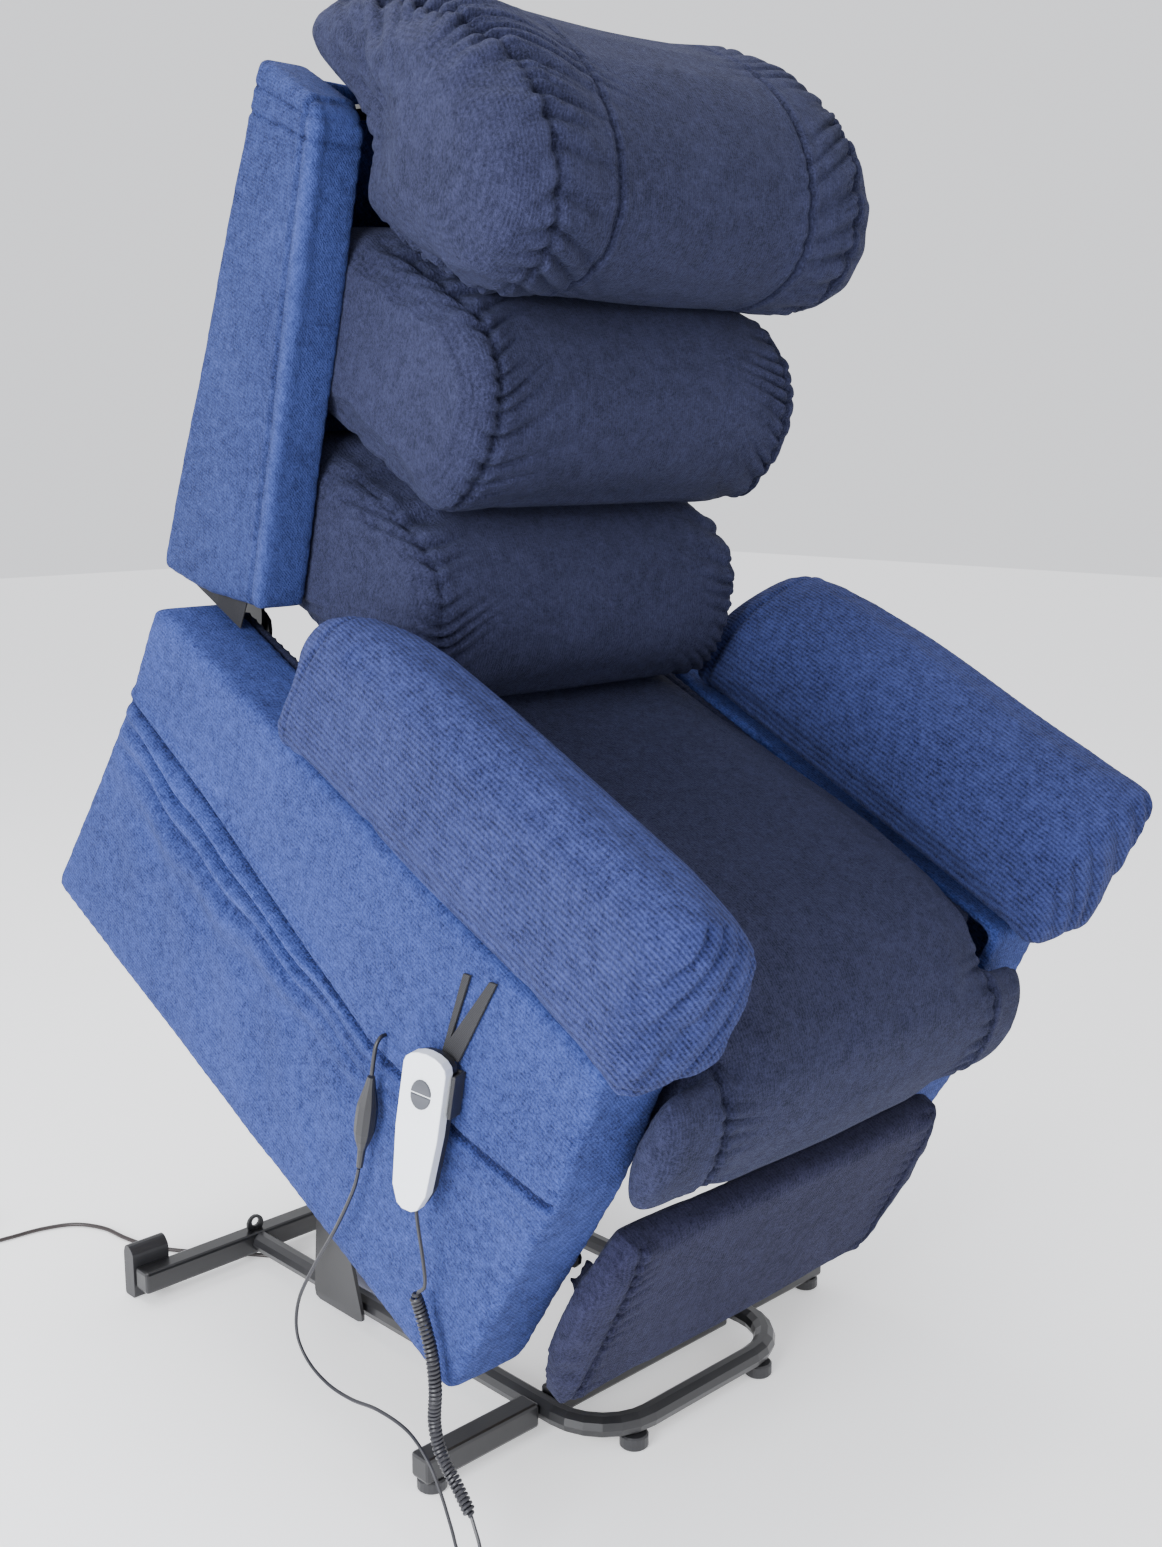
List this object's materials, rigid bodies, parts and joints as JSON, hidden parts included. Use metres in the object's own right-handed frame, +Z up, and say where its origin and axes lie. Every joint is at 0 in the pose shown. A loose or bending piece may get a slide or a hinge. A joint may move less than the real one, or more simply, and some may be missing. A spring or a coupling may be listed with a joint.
{
  "type": "lift recliner chair",
  "caption": "Upholstered recliner on a floor base with a powered lift that raises and tilts the whole seat; hinged back, folding footrest and corded handset.",
  "frame": {"origin": "on the floor under the middle of the chair's box, cords left out, in the raised pose", "axes": "+Z up, the chair faces -Y, +X is the sitter's left"},
  "size_m": [0.9483, 1.4313, 1.5823],
  "materials": {
    "blue_chenille": "soft ribbed pile",
    "black_steel": "glossy",
    "zinc_steel": "satin",
    "black_plastic": "satin",
    "supply_case": "satin",
    "handset_white": "satin",
    "button_grey": "satin",
    "black_webbing": "woven",
    "deck_board": "matt",
    "cord_rubber": "satin"
  },
  "bodies": {
    "base": {"front_cross_tube_left": "black_steel", "front_cross_tube_right": "black_steel", "front_cross_tube_middle": "black_steel", "rear_cross_tube": "black_steel", "loop_tube": "black_steel", "loop_foot_left": "black_plastic", "loop_foot_right": "black_plastic", "front_foot_left": "black_plastic", "front_foot_right": "black_plastic", "rear_end_foot_left": "black_plastic", "rear_end_foot_right": "black_plastic", "riser_plate_left": "black_steel", "riser_plate_right": "black_steel", "power_supply": "supply_case", "mains_lead": "cord_rubber", "mains_coil": "cord_rubber", "mains_plug": "black_plastic"},
    "lift_links": {"lift_link_left": "black_steel", "lift_link_right": "black_steel", "torsion_tube": "black_steel"},
    "control_links": {"control_link_left": "black_steel", "control_link_right": "black_steel"},
    "actuator": {"actuator_gearbox": "black_plastic", "actuator_motor": "black_plastic", "actuator_tube": "zinc_steel"},
    "actuator_rod": {"actuator_rod": "zinc_steel"},
    "seat": {"chassis_plate_left": "black_steel", "chassis_plate_right": "black_steel", "chassis_cross_tube": "black_steel", "seat_deck": "deck_board", "rear_panel": "blue_chenille", "arm_shell_left": "blue_chenille", "arm_shell_right": "blue_chenille", "arm_inner_panel_left": "blue_chenille", "arm_inner_panel_right": "blue_chenille", "arm_pad_left": "blue_chenille", "arm_pad_right": "blue_chenille", "seat_cushion": "blue_chenille"},
    "back": {"back_frame": "black_steel", "back_rear_panel": "blue_chenille", "wing_left": "blue_chenille", "wing_right": "blue_chenille", "back_cushion_lower": "blue_chenille", "back_cushion_middle": "blue_chenille", "headrest": "blue_chenille"},
    "footrest_crank": {"footrest_crank_left": "black_steel", "footrest_crank_right": "black_steel"},
    "footrest_arms": {"footrest_arm_left": "black_steel", "footrest_arm_right": "black_steel"},
    "footrest_board": {"footrest_panel": "blue_chenille"},
    "handset_hanger": {"handset_face": "handset_white", "handset_back": "black_plastic", "handset_holder": "black_plastic", "holder_strap": "black_webbing", "curly_cord": "cord_rubber", "return_cord": "cord_rubber", "pigtail_cord": "cord_rubber", "cord_connector": "black_plastic"},
    "button_up": {"button_up": "button_grey"},
    "button_down": {"button_down": "button_grey"}
  },
  "joints": [
    {"name": "lift", "type": "hinge", "parent": "base", "child": "lift_links", "pos_m": [0, 0.231, 0.25], "axis": [1, 0, 0], "range_deg": [0, 42.58]},
    {"name": "seat_tilt", "type": "hinge", "parent": "lift_links", "child": "seat", "pos_m": [0, -0.05798, 0.35937], "axis": [1, 0, 0], "range_deg": [-69.2, 0]},
    {"name": "control_swing", "type": "hinge", "parent": "base", "child": "control_links", "pos_m": [0, 0.22529, 0.15648], "axis": [1, 0, 0], "range_deg": [0, 44.3]},
    {"name": "actuator_swing", "type": "hinge", "parent": "base", "child": "actuator", "pos_m": [0, 0.42, 0.085], "axis": [1, 0, 0], "range_deg": [0, 14.3]},
    {"name": "actuator_slide", "type": "slide", "parent": "actuator", "child": "actuator_rod", "axis": [0, -0.8302, 0.5574], "range_m": [-0.0468, 0]},
    {"name": "footrest", "type": "hinge", "parent": "seat", "child": "footrest_crank", "pos_m": [0, -0.14304, 0.5069], "axis": [-1, 0, 0], "range_deg": [0, 90]},
    {"name": "foot_elbow", "type": "hinge", "parent": "footrest_crank", "child": "footrest_arms", "pos_m": [0, -0.00292, 0.31824], "axis": [-1, 0, 0], "range_deg": [-103.5, 0]},
    {"name": "foot_board", "type": "hinge", "parent": "footrest_arms", "child": "footrest_board", "pos_m": [0, -0.25828, 0.28143], "axis": [-1, 0, 0], "range_deg": [0, 98.5]},
    {"name": "back_recline", "type": "hinge", "parent": "seat", "child": "back", "pos_m": [0, 0.31735, 0.9052], "axis": [-1, 0, 0], "range_deg": [0, 35]},
    {"name": "handset_swing", "type": "hinge", "parent": "seat", "child": "handset_hanger", "pos_m": [0, -0.29159, 0.62935], "axis": [1, 0, 0], "range_deg": [0, 26.7]},
    {"name": "button_up_press", "type": "slide", "parent": "handset_hanger", "child": "button_up", "axis": [0.9613, 0.2756, 0], "range_m": [0, 0.0012], "stiffness_N_per_m": 800},
    {"name": "button_down_press", "type": "slide", "parent": "handset_hanger", "child": "button_down", "axis": [0.9613, 0.2756, 0], "range_m": [0, 0.0012], "stiffness_N_per_m": 800}
  ],
  "couplings": [
    {"joint": "seat_tilt", "follows": "lift", "ratio": -1.6247},
    {"joint": "control_swing", "follows": "lift", "ratio": 1.0393},
    {"joint": "actuator_swing", "follows": "lift", "ratio": 0.33535},
    {"joint": "actuator_slide", "follows": "lift", "m_per_rad": -0.0628},
    {"joint": "handset_swing", "follows": "lift", "ratio": 0.62468},
    {"joint": "foot_elbow", "follows": "footrest", "ratio": -1.149},
    {"joint": "foot_board", "follows": "footrest", "ratio": 1.0933}
  ]
}
